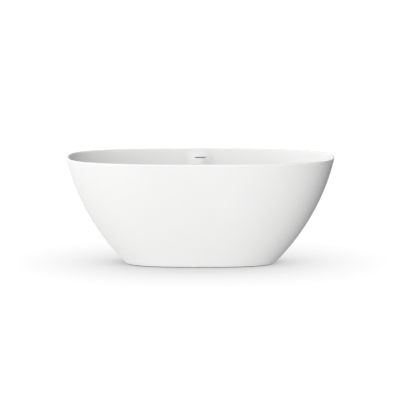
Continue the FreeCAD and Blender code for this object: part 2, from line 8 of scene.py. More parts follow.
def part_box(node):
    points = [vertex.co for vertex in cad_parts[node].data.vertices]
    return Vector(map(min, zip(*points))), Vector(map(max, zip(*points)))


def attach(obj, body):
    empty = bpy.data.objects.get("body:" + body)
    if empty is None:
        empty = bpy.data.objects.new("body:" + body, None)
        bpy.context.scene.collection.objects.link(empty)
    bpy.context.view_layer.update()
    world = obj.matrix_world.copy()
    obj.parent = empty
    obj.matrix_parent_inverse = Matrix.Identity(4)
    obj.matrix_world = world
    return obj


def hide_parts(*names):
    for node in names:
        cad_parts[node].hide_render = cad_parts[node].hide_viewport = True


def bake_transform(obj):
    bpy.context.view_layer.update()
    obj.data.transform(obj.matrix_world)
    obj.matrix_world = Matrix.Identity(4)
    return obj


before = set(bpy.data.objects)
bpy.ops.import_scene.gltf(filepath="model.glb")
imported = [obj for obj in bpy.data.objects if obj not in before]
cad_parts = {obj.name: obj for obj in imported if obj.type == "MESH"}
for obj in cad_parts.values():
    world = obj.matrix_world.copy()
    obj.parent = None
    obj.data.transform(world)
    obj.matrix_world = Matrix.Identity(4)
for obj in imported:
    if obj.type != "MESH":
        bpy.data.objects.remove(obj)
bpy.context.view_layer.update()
scene = bpy.context.scene

# Camera. A long lens about eight degrees above level, square to the tub's long side.
camera_tilt = radians(8.08)
camera_distance = 20.0
camera_aim = Vector((-0.002, 0.0, 0.353))
camera = bpy.data.objects.new("camera", bpy.data.cameras.new("camera"))
camera.location = camera_aim + camera_distance * Vector((0, -cos(camera_tilt), sin(camera_tilt)))
camera.rotation_euler = (camera_aim - camera.location).to_track_quat("-Z", "Y").to_euler()
camera.data.lens = 320.58
camera.data.clip_end = 500.0
scene.collection.objects.link(camera)
scene.camera = camera
scene.view_settings.view_transform = "Standard"


def add_node(nodes, kind, **settings):
    """Adds a shader node and sets its own properties."""
    node = nodes.new("ShaderNode" + kind)
    for name, value in settings.items():
        setattr(node, name, value)
    return node


# Studio. A tent of soft light that is brightest in front and a little to the left, lit from above, and
# falls away to nothing on the right. Each stop is a compass bearing seen from above, 0 towards the camera.
tent_bearings = ((-180, 1.0), (-150, 0.92), (-125, 1.1), (-100, 0.62), (-80, 0.2), (-60, 0.6), (-40, 1.2),
                 (-20, 1.85), (-6, 1.7), (10, 0.9), (24, 0.36), (38, 0.3), (55, 0.56), (70, 0.46), (88, 0.05),
                 (140, 0.02), (162, 0.5), (180, 1.0))
tent_heights = ((-1, 0.85), (-0.35, 0.9), (-0.1, 1.15), (0.05, 2.05), (0.2, 1.65), (0.38, 1.0), (0.7, 0.78),
                (1, 0.72))
tent_strength = 2.0
tent = bpy.data.worlds.new("studio_tent")
tent.use_nodes = True
scene.world = tent
nodes, links = tent.node_tree.nodes, tent.node_tree.links
nodes.clear()
heading = add_node(nodes, "TexCoord")
split = add_node(nodes, "SeparateXYZ")
toward = add_node(nodes, "Math", operation="MULTIPLY")
toward.inputs[1].default_value = -1.0
bearing = add_node(nodes, "Math", operation="ARCTAN2")
turn = add_node(nodes, "MapRange")
turn.inputs["From Min"].default_value = -pi
turn.inputs["From Max"].default_value = pi
ramp = add_node(nodes, "ValToRGB")
stops = ramp.color_ramp.elements
while len(stops) < len(tent_bearings):
    stops.new(0.5)
for stop, (degrees, radiance) in zip(stops, tent_bearings):
    stop.position = (degrees + 180) / 360
    stop.color = (radiance / tent_strength,) * 3 + (1,)
height = add_node(nodes, "MapRange")
height.inputs["From Min"].default_value = -1.0
rise = add_node(nodes, "ValToRGB")
stops = rise.color_ramp.elements
while len(stops) < len(tent_heights):
    stops.new(0.5)
for stop, (z, share) in zip(stops, tent_heights):
    stop.position = (z + 1) / 2
    stop.color = (share / tent_strength,) * 3 + (1,)
brighten = add_node(nodes, "Math", operation="MULTIPLY")
brighten.inputs[1].default_value = tent_strength * tent_strength
light = add_node(nodes, "Background")
seen = add_node(nodes, "Background")
seen.inputs["Color"].default_value = (1.0, 1.0, 1.0, 1)
seen.inputs["Strength"].default_value = 1.05
ray = add_node(nodes, "LightPath")
choose = add_node(nodes, "MixShader")
out = add_node(nodes, "OutputWorld")
links.new(heading.outputs["Generated"], split.inputs[0])
links.new(split.outputs["Y"], toward.inputs[0])
links.new(split.outputs["X"], bearing.inputs[0])
links.new(toward.outputs[0], bearing.inputs[1])
links.new(bearing.outputs[0], turn.inputs["Value"])
links.new(turn.outputs[0], ramp.inputs[0])
links.new(split.outputs["Z"], height.inputs["Value"])
links.new(ramp.outputs["Color"], light.inputs["Color"])
links.new(height.outputs[0], rise.inputs[0])
links.new(rise.outputs["Color"], brighten.inputs[0])
links.new(brighten.outputs[0], light.inputs["Strength"])
links.new(ray.outputs["Is Camera Ray"], choose.inputs[0])
links.new(light.outputs[0], choose.inputs[1])
links.new(seen.outputs[0], choose.inputs[2])
links.new(choose.outputs[0], out.inputs["Surface"])

# High light. One broad soft lamp hung high on the left: it reaches into the well, lights the faces that look
# left and leaves those that look right in shade.
lamp_bearing = radians(-78)
lamp_rise = radians(60)
lamp = bpy.data.objects.new("high_lamp", bpy.data.lights.new("high_lamp", "SUN"))
lamp.data.energy = 1.05
lamp.data.angle = radians(30)
lamp_side = Vector((sin(lamp_bearing) * cos(lamp_rise), -cos(lamp_bearing) * cos(lamp_rise), sin(lamp_rise)))
lamp.rotation_euler = lamp_side.to_track_quat("Z", "Y").to_euler()
scene.collection.objects.link(lamp)

# Floor. Plain and pale, and glowing rather than lit: evenly bright where nothing is near, dimmed round the
# tub by ambient occlusion, a painted shadow of the tub.
floor_half = 30.0
floor_mesh = bmesh.new()
bmesh.ops.create_grid(floor_mesh, x_segments=1, y_segments=1, size=floor_half)
floor_data = bpy.data.meshes.new("studio_floor")
floor_mesh.to_mesh(floor_data)
floor_mesh.free()
floor = bpy.data.objects.new("studio_floor", floor_data)
scene.collection.objects.link(floor)
floor_glow_painted_shade = bpy.data.materials.new("floor_glow_painted_shade")
floor_glow_painted_shade.use_nodes = True
nodes, links = floor_glow_painted_shade.node_tree.nodes, floor_glow_painted_shade.node_tree.links
nodes.clear()
# Painted shadow: the floor's glow is darkened by ambient occlusion near the tub, not by any lamp.
painted_shadow_ao = add_node(nodes, "AmbientOcclusion", samples=24)
painted_shadow_ao.inputs["Distance"].default_value = 1.6
soften = add_node(nodes, "Math", operation="POWER")
soften.inputs[1].default_value = 0.45
lift = add_node(nodes, "Math", operation="MULTIPLY")
lift.inputs[1].default_value = 1.05
shine = add_node(nodes, "Emission")
out = add_node(nodes, "OutputMaterial")
links.new(painted_shadow_ao.outputs["AO"], soften.inputs[0])
links.new(soften.outputs[0], lift.inputs[0])
links.new(lift.outputs[0], shine.inputs["Strength"])
links.new(shine.outputs[0], out.inputs["Surface"])
floor_data.materials.append(floor_glow_painted_shade)
floor.visible_diffuse = False
floor.visible_glossy = False
floor.visible_shadow = False
floor_glow_painted_shade.cycles.emission_sampling = "NONE"

# Skirt. The tub's outer shell, cast in one piece in a white solid surface: a flared flank on a circular
# arc with squared-off ovals in plan. It stands on the cradle's blocks 4 mm clear of the floor.
tub_height = 0.600
rim_size = (0.750, 0.360)
foot_size = (0.420, 0.205)
foot_gap = 0.004
flank_bulge = 0.048
rim_power = 2.9
foot_power = 2.65
rim_round = 0.007
skirt_wall = 0.007
skirt_top = 0.587
skirt_foot_round = 0.003


def flank_arc(low, high, bulge):
    """Half size against height, on an arc between two (size, z) points that bulges outside their chord."""
    run = high[0] - low[0]
    rise = high[1] - low[1]
    chord = hypot(run, rise)
    radius = (chord * chord / 4 + bulge * bulge) / (2 * bulge)
    centre = (low[0] + high[0]) / 2 - (radius - bulge) * rise / chord
    middle = (low[1] + high[1]) / 2 + (radius - bulge) * run / chord
    return lambda z: centre + sqrt(radius * radius - (z - middle) ** 2)


def overhang(lean):
    """How far the flank would run past the widest line of the rim if the rim's edge were not rounded."""
    return rim_round * (lean + 1 - sqrt(1 + lean * lean))


rim_arc = flank_arc((foot_size[0], foot_gap), (rim_size[0], tub_height), flank_bulge)
end_lean = (rim_arc(tub_height) - rim_arc(tub_height - 0.001)) / 0.001
side_lean = end_lean * (rim_size[1] - foot_size[1]) / (rim_size[0] - foot_size[0])
top_length = rim_size[0] + overhang(end_lean)
top_width = rim_size[1] + overhang(side_lean)
end_flank = flank_arc((foot_size[0], foot_gap), (top_length, tub_height), flank_bulge)


def outside_at(z, smaller=0.0):
    """Half length, half width and squareness of the tub's outside at a height."""
    half_length = end_flank(z)
    flare = (half_length - foot_size[0]) / (top_length - foot_size[0])
    half_width = foot_size[1] + flare * (top_width - foot_size[1])
    return half_length - smaller, half_width - smaller, foot_power + flare * (rim_power - foot_power)


# Columns of faces stand at fixed x on the back, where ridge and slot are, and at even turns elsewhere.
ridge_width = 0.168
slot_half = 0.028
slot_round = 0.003
half_columns = [0.004 * i for i in range(8)]
half_columns += [slot_half + slot_round * sin(pi / 4), slot_half + slot_round, 0.034]
half_columns += [0.038 + 0.0046 * i for i in range(11)]
ridge_columns = half_columns[:0:-1] + [-x for x in half_columns]
turned_columns = 380


def oval_ring(form, z, ridge=0.0):
    """Points round one level ring of the tub's plan, pressed inwards by the ridge behind the slot."""
    half_length, half_width, power = form
    ring = []
    for x in ridge_columns:
        y = half_width * (1 - (abs(x) / half_length) ** power) ** (1 / power)
        ring.append((x, y - ridge * cos(pi * x / ridge_width) ** 2, z))
    x = ridge_columns[0]
    edge = atan2((1 - (x / half_length) ** power) ** (1 / power), x / half_length)
    for i in range(1, turned_columns + 1):
        turn = pi - edge + (pi + 2 * edge) * i / (turned_columns + 1)
        reach = (abs(cos(turn)) ** power + abs(sin(turn)) ** power) ** (-1 / power)
        ring.append((half_length * cos(turn) * reach, half_width * sin(turn) * reach, z))
    return ring


def skin(rings):
    """Closed shell grown ring by ring, whose last ring meets its first."""
    mesh = bmesh.new()
    ring = bmesh.ops.create_circle(mesh, segments=len(rings[0]), radius=1)["verts"]
    for vert, point in zip(ring, rings[0]):
        vert.co = point
    for points in rings[1:] + rings[:1]:
        edges = [mesh.edges.get(pair) for pair in zip(ring, ring[1:] + ring[:1])]
        made = bmesh.ops.extrude_edge_only(mesh, edges=edges)["geom"]
        fresh = {part for part in made if isinstance(part, bmesh.types.BMVert)}
        ring = [next(e.other_vert(v) for e in v.link_edges if e.other_vert(v) in fresh) for v in ring]
        for vert, point in zip(ring, points):
            vert.co = point
    bmesh.ops.remove_doubles(mesh, verts=mesh.verts, dist=0.000001)
    bmesh.ops.recalc_face_normals(mesh, faces=mesh.faces)
    return mesh


def spread(start, end, count):
    """Even steps from start to end, both among them."""
    return [start + (end - start) * i / count for i in range(count + 1)]


def finish_piece(mesh, name, body, slot, paint, *nodes, sharp=32):
    """Turns a finished mesh into a piece, on a body if it has one, standing for the CAD nodes it replaces."""
    data = bpy.data.meshes.new(name)
    mesh.to_mesh(data)
    mesh.free()
    data.shade_smooth()
    data.set_sharp_from_angle(angle=radians(sharp))
    data.materials.append(paint)
    piece = bpy.data.objects.new(name, data)
    scene.collection.objects.link(piece)
    if body:
        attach(piece, body)
    if nodes:
        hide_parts(*nodes)
    return piece


def new_group(name, inputs, outputs):
    """Empty shader node group with named number inputs and outputs. Gives the group, its nodes and links."""
    group = bpy.data.node_groups.new(name, "ShaderNodeTree")
    for socket, value in inputs.items():
        made = group.interface.new_socket(socket, in_out="INPUT", socket_type="NodeSocketFloat")
        made.default_value = value
    for socket in outputs:
        group.interface.new_socket(socket, in_out="OUTPUT", socket_type="NodeSocketFloat")
    return group, group.nodes, group.links


# Grain: a mottle and a fine speckle, both fixed to the piece, for anything cast, moulded or plated.
grain_scales = {"Cloud Scale": 6.0, "Speckle Scale": 900.0}
grain, nodes, links = new_group("surface_grain", grain_scales, ["Cloud", "Speckle"])
given = nodes.new("NodeGroupInput")
place = add_node(nodes, "TexCoord")
cloud = add_node(nodes, "TexNoise")
cloud.inputs["Detail"].default_value = 4.0
speckle = add_node(nodes, "TexNoise")
speckle.inputs["Detail"].default_value = 2.0
result = nodes.new("NodeGroupOutput")
links.new(place.outputs["Object"], cloud.inputs["Vector"])
links.new(place.outputs["Object"], speckle.inputs["Vector"])
links.new(given.outputs["Cloud Scale"], cloud.inputs["Scale"])
links.new(given.outputs["Speckle Scale"], speckle.inputs["Scale"])
links.new(cloud.outputs["Fac"], result.inputs["Cloud"])
links.new(speckle.outputs["Fac"], result.inputs["Speckle"])

# Dust: settles on what stands near the floor, thinning out upwards, in uneven patches.
dust, nodes, links = new_group("floor_dust", {"Clear Height": 0.05, "Amount": 0.5}, ["Dust"])
given = nodes.new("NodeGroupInput")
place = add_node(nodes, "TexCoord")
split = add_node(nodes, "SeparateXYZ")
patches = add_node(nodes, "TexNoise")
patches.inputs["Scale"].default_value = 90.0
patches.inputs["Detail"].default_value = 5.0
fade = add_node(nodes, "MapRange")
fade.inputs["To Min"].default_value = 1.0
fade.inputs["To Max"].default_value = 0.0
patchy = add_node(nodes, "Math", operation="MULTIPLY")
amount = add_node(nodes, "Math", operation="MULTIPLY", use_clamp=True)
result = nodes.new("NodeGroupOutput")
links.new(place.outputs["Object"], split.inputs[0])
links.new(place.outputs["Object"], patches.inputs["Vector"])
links.new(split.outputs["Z"], fade.inputs["Value"])
links.new(given.outputs["Clear Height"], fade.inputs["From Max"])
links.new(fade.outputs[0], patchy.inputs[0])
links.new(patches.outputs["Fac"], patchy.inputs[1])
links.new(patchy.outputs[0], amount.inputs[0])
links.new(given.outputs["Amount"], amount.inputs[1])
links.new(amount.outputs[0], result.inputs["Dust"])


def new_finish(name, light, dark, smooth, rough, cloud_scale, speckle_scale, bump, dust_height=0.0,
               **sockets):
    """Material whose colour, roughness and relief vary with the grain, with dust near the floor."""
    paint = bpy.data.materials.new(name)
    paint.use_nodes = True
    nodes, links = paint.node_tree.nodes, paint.node_tree.links
    shader = nodes["Principled BSDF"]
    texture = add_node(nodes, "Group", node_tree=grain)
    texture.inputs["Cloud Scale"].default_value = cloud_scale
    texture.inputs["Speckle Scale"].default_value = speckle_scale
    spots = add_node(nodes, "Math", operation="MULTIPLY_ADD")
    spots.inputs[1].default_value = 0.35
    tint = add_node(nodes, "Mix", data_type="RGBA")
    tint.inputs["A"].default_value = (*light, 1)
    tint.inputs["B"].default_value = (*dark, 1)
    polish = add_node(nodes, "MapRange")
    polish.inputs["From Min"].default_value = 0.3
    polish.inputs["From Max"].default_value = 0.7
    polish.inputs["To Min"].default_value = smooth
    polish.inputs["To Max"].default_value = rough
    relief = add_node(nodes, "Bump")
    relief.inputs["Strength"].default_value = bump
    relief.inputs["Distance"].default_value = 0.0004
    links.new(texture.outputs["Speckle"], spots.inputs[0])
    links.new(texture.outputs["Cloud"], spots.inputs[2])
    links.new(spots.outputs[0], tint.inputs["Factor"])
    links.new(texture.outputs["Cloud"], polish.inputs["Value"])
    links.new(texture.outputs["Speckle"], relief.inputs["Height"])
    links.new(relief.outputs[0], shader.inputs["Normal"])
    colour = tint.outputs["Result"]
    roughness = polish.outputs[0]
    if dust_height:
        settled = add_node(nodes, "Group", node_tree=dust)
        settled.inputs["Clear Height"].default_value = dust_height
        dusty = add_node(nodes, "Mix", data_type="RGBA")
        dusty.inputs["B"].default_value = (0.42, 0.39, 0.35, 1)
        dull = add_node(nodes, "Mix", data_type="FLOAT")
        dull.inputs["B"].default_value = 0.95
        links.new(settled.outputs["Dust"], dusty.inputs["Factor"])
        links.new(colour, dusty.inputs["A"])
        links.new(settled.outputs["Dust"], dull.inputs["Factor"])
        links.new(roughness, dull.inputs["A"])
        colour = dusty.outputs["Result"]
        roughness = dull.outputs["Result"]
    links.new(colour, shader.inputs["Base Color"])
    links.new(roughness, shader.inputs["Roughness"])
    for socket, value in sockets.items():
        shader.inputs[socket.replace("_", " ")].default_value = value
    return paint


solid_surface = new_finish("solid_surface", (0.86, 0.86, 0.856), (0.835, 0.835, 0.83), 0.44, 0.56, 5.0,
                           1100.0, 0.05, Specular_IOR_Level=0.35)

foot_turns = spread(0, pi / 2, 5)
rings = [oval_ring(outside_at(z), z) for z in spread(skirt_top, foot_gap + skirt_foot_round, 34)]
for turn in foot_turns[1:]:
    z = foot_gap + skirt_foot_round * (1 - sin(turn))
    rings.append(oval_ring(outside_at(z, skirt_foot_round * (1 - cos(turn))), z))
rings += [oval_ring(outside_at(z, skirt_wall), z) for z in spread(foot_gap, skirt_top, 16)]
finish_piece(skin(rings), "skirt_shell", "tub", "solid_surface", solid_surface, "skirt")

# Rim bond. A bead of colour-matched adhesive, 1 mm thick, between the skirt's top and the basin's lip,
# ground flush so that the two shells read as one casting.
lip_bottom = 0.588
rings = [oval_ring(outside_at(z), z) for z in (skirt_top, lip_bottom)]
rings += [oval_ring(outside_at(z, skirt_wall), z) for z in (lip_bottom, skirt_top)]
finish_piece(skin(rings), "rim_bond_bead", "tub", "solid_surface", solid_surface, "rim_bond")

# Basin. Lip, thin rim and bathing well cast as one: the rim's two edges are rounded, the well runs down to
# a broad corner, and its floor falls to the waste. A ridge in the back wall hides the overflow's channel.
basin_wall = 0.008
rim_thickness = 0.0165
well_round = 0.006
well_floor = 0.150
basin_bottom = 0.135
end_inset = 0.075
side_inset = 0.053
inset_power = 1.8
floor_round = 0.080
dish_bottom = 0.147
recess_radius = 0.038
recess_edge = 0.001
seal_seat = 0.1425
drain_radius = 0.026
ridge_depth = 0.026
ridge_rim_share = 0.2
ridge_rise = 0.075
ridge_foot = 0.230
ridge_fade = 0.100
slot_z = 0.552
slot_clear = 0.007       # rows of faces beside the slot stand this far from its middle
close_rows_end = 0.525
wide_rows_start = 0.515
hidden_close_rows = [0.540, 0.528]


def smooth_step(value):
    share = min(1.0, max(0.0, value))
    return share * share * (3 - 2 * share)


def ridge_at(z):
    """How far the overflow ridge stands into the well at a height."""
    grown = (1 - cos(pi * min(1.0, (tub_height - z) / ridge_rise))) / 2
    share = ridge_rim_share + (1 - ridge_rim_share) * grown
    return ridge_depth * share * smooth_step((z - ridge_foot) / ridge_fade)


def well_at(z, larger=0.0):
    """Half length, half width and squareness of the inside of the well at a height."""
    half_length, half_width, power = outside_at(z)
    depth = max(0.0, (tub_height - z) / (tub_height - well_floor)) ** inset_power
    end = rim_thickness + (end_inset - rim_thickness) * depth
    side = rim_thickness + (side_inset - rim_thickness) * depth
    return half_length - end + larger, half_width - side + larger, power


def well_ring(z, larger=0.0):
    return oval_ring(well_at(z, larger), z, ridge_at(z))


def round_ring(around, radius, z):
    """Points on a circle, each in the direction of its point of an oval ring."""
    return [(radius * x / hypot(x, y), radius * y / hypot(x, y), z) for x, y, _ in around]


def between(ring, other, share, z):
    return [(a[0] + (b[0] - a[0]) * share, a[1] + (b[1] - a[1]) * share, z) for a, b in zip(ring, other)]


slot_rows = [slot_z + slot_round * up for up in (1, sin(pi / 4), 0, -sin(pi / 4), -1)]
wall_rows = spread(tub_height - well_round, slot_z + slot_clear, 7) + slot_rows
wall_rows += spread(slot_z - slot_clear, close_rows_end, 5)
wall_rows += spread(wide_rows_start, well_floor + floor_round, 27)
edge_turns = spread(0, pi / 2, 8)
corner_turns = spread(0, pi / 2, 18)
rings = [oval_ring(outside_at(z), z) for z in spread(lip_bottom, tub_height - rim_round, 2)]
for turn in edge_turns[1:]:
    z = tub_height - rim_round * (1 - sin(turn))
    rings.append(oval_ring(outside_at(z, rim_round * (1 - cos(turn))), z))
for turn in reversed(edge_turns[1:]):
    rings.append(well_ring(tub_height - well_round * (1 - sin(turn)), well_round * (1 - cos(turn))))
rings += [well_ring(z) for z in wall_rows]
for turn in corner_turns[1:]:
    rings.append(well_ring(well_floor + floor_round * (1 - sin(turn)), -floor_round * (1 - cos(turn))))
flat = rings[-1]
for share in spread(0, 1, 10)[1:]:
    z = well_floor - (well_floor - dish_bottom) * smooth_step(share)
    rings.append(between(flat, round_ring(flat, recess_radius + recess_edge, z), share ** 0.8, z))
for away, down in ((0.0003, 0.0003), (0.0, 0.001)):
    rings.append(round_ring(flat, recess_radius + away, dish_bottom - down))
rings.append(round_ring(flat, recess_radius, seal_seat))
rings.append(round_ring(flat, drain_radius, seal_seat))
rings.append(round_ring(flat, drain_radius, basin_bottom))
outer_round = floor_round + basin_wall
under = well_ring(basin_bottom, basin_wall - outer_round)
for share in spread(0, 1, 6)[1:-1]:
    rings.append(between(round_ring(flat, drain_radius, basin_bottom), under, share, basin_bottom))
for turn in reversed(corner_turns):
    z = basin_bottom + outer_round * (1 - sin(turn))
    rings.append(well_ring(z, basin_wall - outer_round * (1 - cos(turn))))
hidden_rows = spread(lip_bottom, slot_z + slot_clear, 4) + slot_rows + hidden_close_rows
hidden_rows += spread(wide_rows_start, basin_bottom + outer_round, 12)[:-1]
rings += [well_ring(z, basin_wall) for z in reversed(hidden_rows)]
basin = skin(rings)

# The overflow slot is routed through both faces of the ridge, with round ends.
back_side = 0.25
slot_faces = []
for face in basin.faces:
    x, y, z = face.calc_center_median()
    if y > back_side and abs(x) < slot_half + slot_round and abs(z - slot_z) < slot_round:
        slot_faces.append(face)
bmesh.ops.delete(basin, geom=slot_faces, context="FACES")
slot_edges = [edge for edge in basin.edges if edge.is_boundary]
for vert in {vert for edge in slot_edges for vert in edge.verts}:
    reach = abs(vert.co.x) - slot_half
    if reach > 0.0001:
        rise = vert.co.z - slot_z
        scale = slot_round / hypot(reach, rise)
        vert.co.x = (slot_half + reach * scale) * (1 if vert.co.x > 0 else -1)
        vert.co.z = slot_z + rise * scale
bmesh.ops.bridge_loops(basin, edges=slot_edges)
bmesh.ops.recalc_face_normals(basin, faces=basin.faces)
finish_piece(basin, "basin_casting", "tub", "solid_surface", solid_surface, "basin")

# Waste flange. Brass, turned, chromed and polished: its rim sits in the recess of the well's floor, and its
# tail screws into the waste body below. Three spokes hold the hub that the plug's latch screws into.
chrome = new_finish("chrome_plate", (0.86, 0.87, 0.88), (0.79, 0.80, 0.81), 0.04, 0.12, 35.0, 700.0, 0.012,
                    Metallic=1.0)
turned_steps = 96
flange_profile = ((0.0215, 0.122), (0.024, 0.122), (0.024, 0.144), (0.0352, 0.144), (0.036, 0.1445),
                  (0.036, 0.1459), (0.0357, 0.1465), (0.0352, 0.1469), (0.0345, 0.147), (0.0238, 0.147),
                  (0.0226, 0.1466), (0.0218, 0.1458), (0.0215, 0.1446))
hub_profile = ((0.007, 0.123), (0.0088, 0.123), (0.0095, 0.1237), (0.0095, 0.1273), (0.0088, 0.128),
               (0.007, 0.128))
spoke_size = (0.0145, 0.003, 0.005)
spoke_middle = (0.0155, 0.0, 0.1255)


def lathe(mesh, profile, steps, centre=(0.0, 0.0)):
    """Turns a profile of (radius, z) points about an upright line. One that starts on it stays open."""
    before = set(mesh.verts)
    chain = [mesh.verts.new((radius, 0, z)) for radius, z in profile]
    pairs = list(zip(chain, chain[1:]))
    if profile[0][0] > 0:
        pairs.append((chain[-1], chain[0]))
    edges = [mesh.edges.new(pair) for pair in pairs]
    bmesh.ops.spin(mesh, geom=chain + edges, axis=(0, 0, 1), angle=2 * pi, steps=steps, use_merge=True)
    made = [vert for vert in mesh.verts if vert not in before]
    bmesh.ops.translate(mesh, verts=made, vec=(*centre, 0))
    bmesh.ops.remove_doubles(mesh, verts=made, dist=0.000001)
    bmesh.ops.recalc_face_normals(mesh, faces=mesh.faces)


flange = bmesh.new()
lathe(flange, flange_profile, turned_steps)
lathe(flange, hub_profile, turned_steps)
for i in range(3):
    place = Matrix.Rotation(pi / 3 + 2 * pi * i / 3, 4, "Z") @ Matrix.Translation(spoke_middle)
    bmesh.ops.create_cube(flange, size=1, matrix=place @ Matrix.Diagonal((*spoke_size, 1)))
finish_piece(flange, "waste_flange_ring", "tub", "chrome_plate", chrome, "waste_flange", sharp=40)

# Plug. A low chromed dome on a brass stem: a press on it works the latch under it. A soft ring in the cap's
# underside closes on the flange.
cap_profile = [(0.031 * share, 0.154 - 0.0015 * share ** 2) for share in spread(0, 0.94, 8)]
cap_profile += [(0.0298, 0.15255), (0.0304, 0.1522), (0.0308, 0.1517), (0.031, 0.1511), (0.031, 0.1494),
                (0.0307, 0.149), (0.0075, 0.149), (0.0062, 0.1486), (0.006, 0.148), (0.006, 0.1404),
                (0.0056, 0.14), (0.003, 0.14), (0.003, 0.148), (0, 0.148)]
cap = bmesh.new()
lathe(cap, cap_profile, turned_steps)
finish_piece(cap, "plug_dome", "plug", "chrome_plate", chrome, "plug_cap", sharp=40)

rubber = new_finish("black_rubber", (0.035, 0.035, 0.036), (0.018, 0.018, 0.018), 0.58, 0.78, 40.0, 1500.0,
                    0.22, 0.03)
plug_ring_profile = ((0.0245, 0.149), (0.0245, 0.1481), (0.0262, 0.1479), (0.0276, 0.1472), (0.0284, 0.147),
                     (0.0291, 0.1473), (0.0295, 0.1479), (0.0295, 0.149))
ring = bmesh.new()
lathe(ring, plug_ring_profile, turned_steps)
finish_piece(ring, "plug_seal_ring", "plug", "black_rubber", rubber, "plug_seal")

# Levelling feet. Black pads of hard rubber with a notched edge for the fingers, each pressed on the foot of
# an M12 stud. The studs are rolled zinc-plated steel with a hexagon for the spanner, and lock nuts hold them
# under the bars.
zinc = new_finish("zinc_steel", (0.62, 0.63, 0.65), (0.46, 0.47, 0.49), 0.3, 0.5, 60.0, 900.0, 0.12, 0.03,
                  Metallic=1.0)
pad_profile = ((0.00615, 0.022), (0.00615, 0.005), (0.0045, 0.0048), (0.0045, 0.0), (0.0262, 0.0),
               (0.0274, 0.0005), (0.028, 0.0016), (0.028, 0.0062), (0.0274, 0.0074), (0.0262, 0.008),
               (0.020, 0.0083), (0.0152, 0.0094), (0.0130, 0.0118), (0.0121, 0.0155), (0.012, 0.0209),
               (0.0117, 0.0217), (0.0110, 0.022))
pad_steps = 120
pad_radius = 0.028
pad_notches = 20
notch_depth = 0.0012
notch_start = 0.0272     # the notches cut what lies outside this radius
notch_width = 0.4        # cosine of a turn below which a notch ends
thread_pitch = 0.00175
thread_steps = 24
thread_shape = ((0.0, 0.0), (0.38, 1.0), (0.5, 1.0), (0.88, 0.0), (1.0, 0.0))
thread_crest = 0.006
thread_root = 0.0049
stud_low = 0.005
stud_high = 0.116
stud_core = 0.0052
stud_wrench = 0.017
stud_hexagon = (0.024, 0.031)
hex_columns = 48
bar_underside = 0.090
nut_wrench = 0.019
nut_bore = 0.00605
nut_height = 0.010


def hex_ring(apothem, limit, z):
    """Points round a hexagon, its corners held back to a limit as a chamfer does."""
    points = []
    for i in range(hex_columns):
        turn = 2 * pi * i / hex_columns
        reach = min(limit, apothem / cos(turn % (pi / 3) - pi / 6))
        points.append((reach * cos(turn), reach * sin(turn), z))
    return points


def hexagon(wrench, bore, low, high):
    """Chamfered hexagon with a round bore."""
    apothem = wrench / 2
    chamfer = 0.1 * apothem
    rings = [hex_ring(apothem, 1.0, z) for z in (low + chamfer, high - chamfer)]
    rings.append(hex_ring(apothem, 1.03 * apothem, high))
    rings += [hex_ring(bore, bore, z) for z in (high, low)]
    rings.append(hex_ring(apothem, 1.03 * apothem, low))
    return skin(rings)


def threaded_rod():
    """Stud with a rolled thread over its whole length, cut square at both ends, and its hexagon."""
    mesh = bmesh.new()
    chain = []
    for share, crest in thread_shape:
        radius = thread_root + crest * (thread_crest - thread_root)
        chain.append(mesh.verts.new((radius, 0, stud_low + (share - 1.5) * thread_pitch)))
    edges = [mesh.edges.new(pair) for pair in zip(chain, chain[1:])]
    turns = int((stud_high - stud_low) / thread_pitch) + 3
    bmesh.ops.spin(mesh, geom=chain + edges, axis=(0, 0, 1), dvec=(0, 0, thread_pitch / thread_steps),
                   angle=2 * pi * turns, steps=thread_steps * turns)
    bmesh.ops.remove_doubles(mesh, verts=mesh.verts, dist=0.00001)
    for level, way in ((stud_low, -1), (stud_high, 1)):
        everything = mesh.verts[:] + mesh.edges[:] + mesh.faces[:]
        cut = bmesh.ops.bisect_plane(mesh, geom=everything, dist=0.000001, plane_co=(0, 0, level),
                                     plane_no=(0, 0, way), clear_outer=True)["geom_cut"]
        bmesh.ops.edgeloop_fill(mesh, edges=[part for part in cut if isinstance(part, bmesh.types.BMEdge)])
    grip = bpy.data.meshes.new("spare")
    hexagon(stud_wrench, stud_core, *stud_hexagon).to_mesh(grip)
    mesh.from_mesh(grip)
    bmesh.ops.recalc_face_normals(mesh, faces=mesh.faces)
    return mesh


def notched_pad():
    """Round pad with finger notches in its edge and a socket for the stud's foot."""
    mesh = bmesh.new()
    lathe(mesh, pad_profile, pad_steps)
    for vert in mesh.verts:
        turn = atan2(vert.co.y, vert.co.x)
        if hypot(vert.co.x, vert.co.y) > notch_start and cos(pad_notches * turn) > notch_width:
            vert.co.xy *= 1 - notch_depth / pad_radius
    return mesh


def moved(mesh, x, y):
    """Copy of a mesh moved across the floor."""
    other = mesh.copy()
    bmesh.ops.translate(other, verts=other.verts, vec=(x, y, 0))
    return other


stud = threaded_rod()
pad = notched_pad()
nut = hexagon(nut_wrench, nut_bore, bar_underside - nut_height, bar_underside)
lock_nuts = bmesh.new()
for corner in ("front_left", "front_right", "back_left", "back_right"):
    low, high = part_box("foot_pad_" + corner)
    place = ((low.x + high.x) / 2, (low.y + high.y) / 2)
    finish_piece(moved(pad, *place), "foot_pad_notched_" + corner, "foot_" + corner, "black_rubber", rubber,
                 "foot_pad_" + corner)
    finish_piece(moved(stud, *place), "foot_stud_threaded_" + corner, "stud_" + corner, "zinc_steel", zinc,
                 "foot_stud_" + corner, sharp=25)
    spare = bpy.data.meshes.new("spare")
    moved(nut, *place).to_mesh(spare)
    lock_nuts.from_mesh(spare)
finish_piece(lock_nuts, "lock_nuts_chamfered", "tub", "zinc_steel", zinc, "lock_nuts", sharp=25)

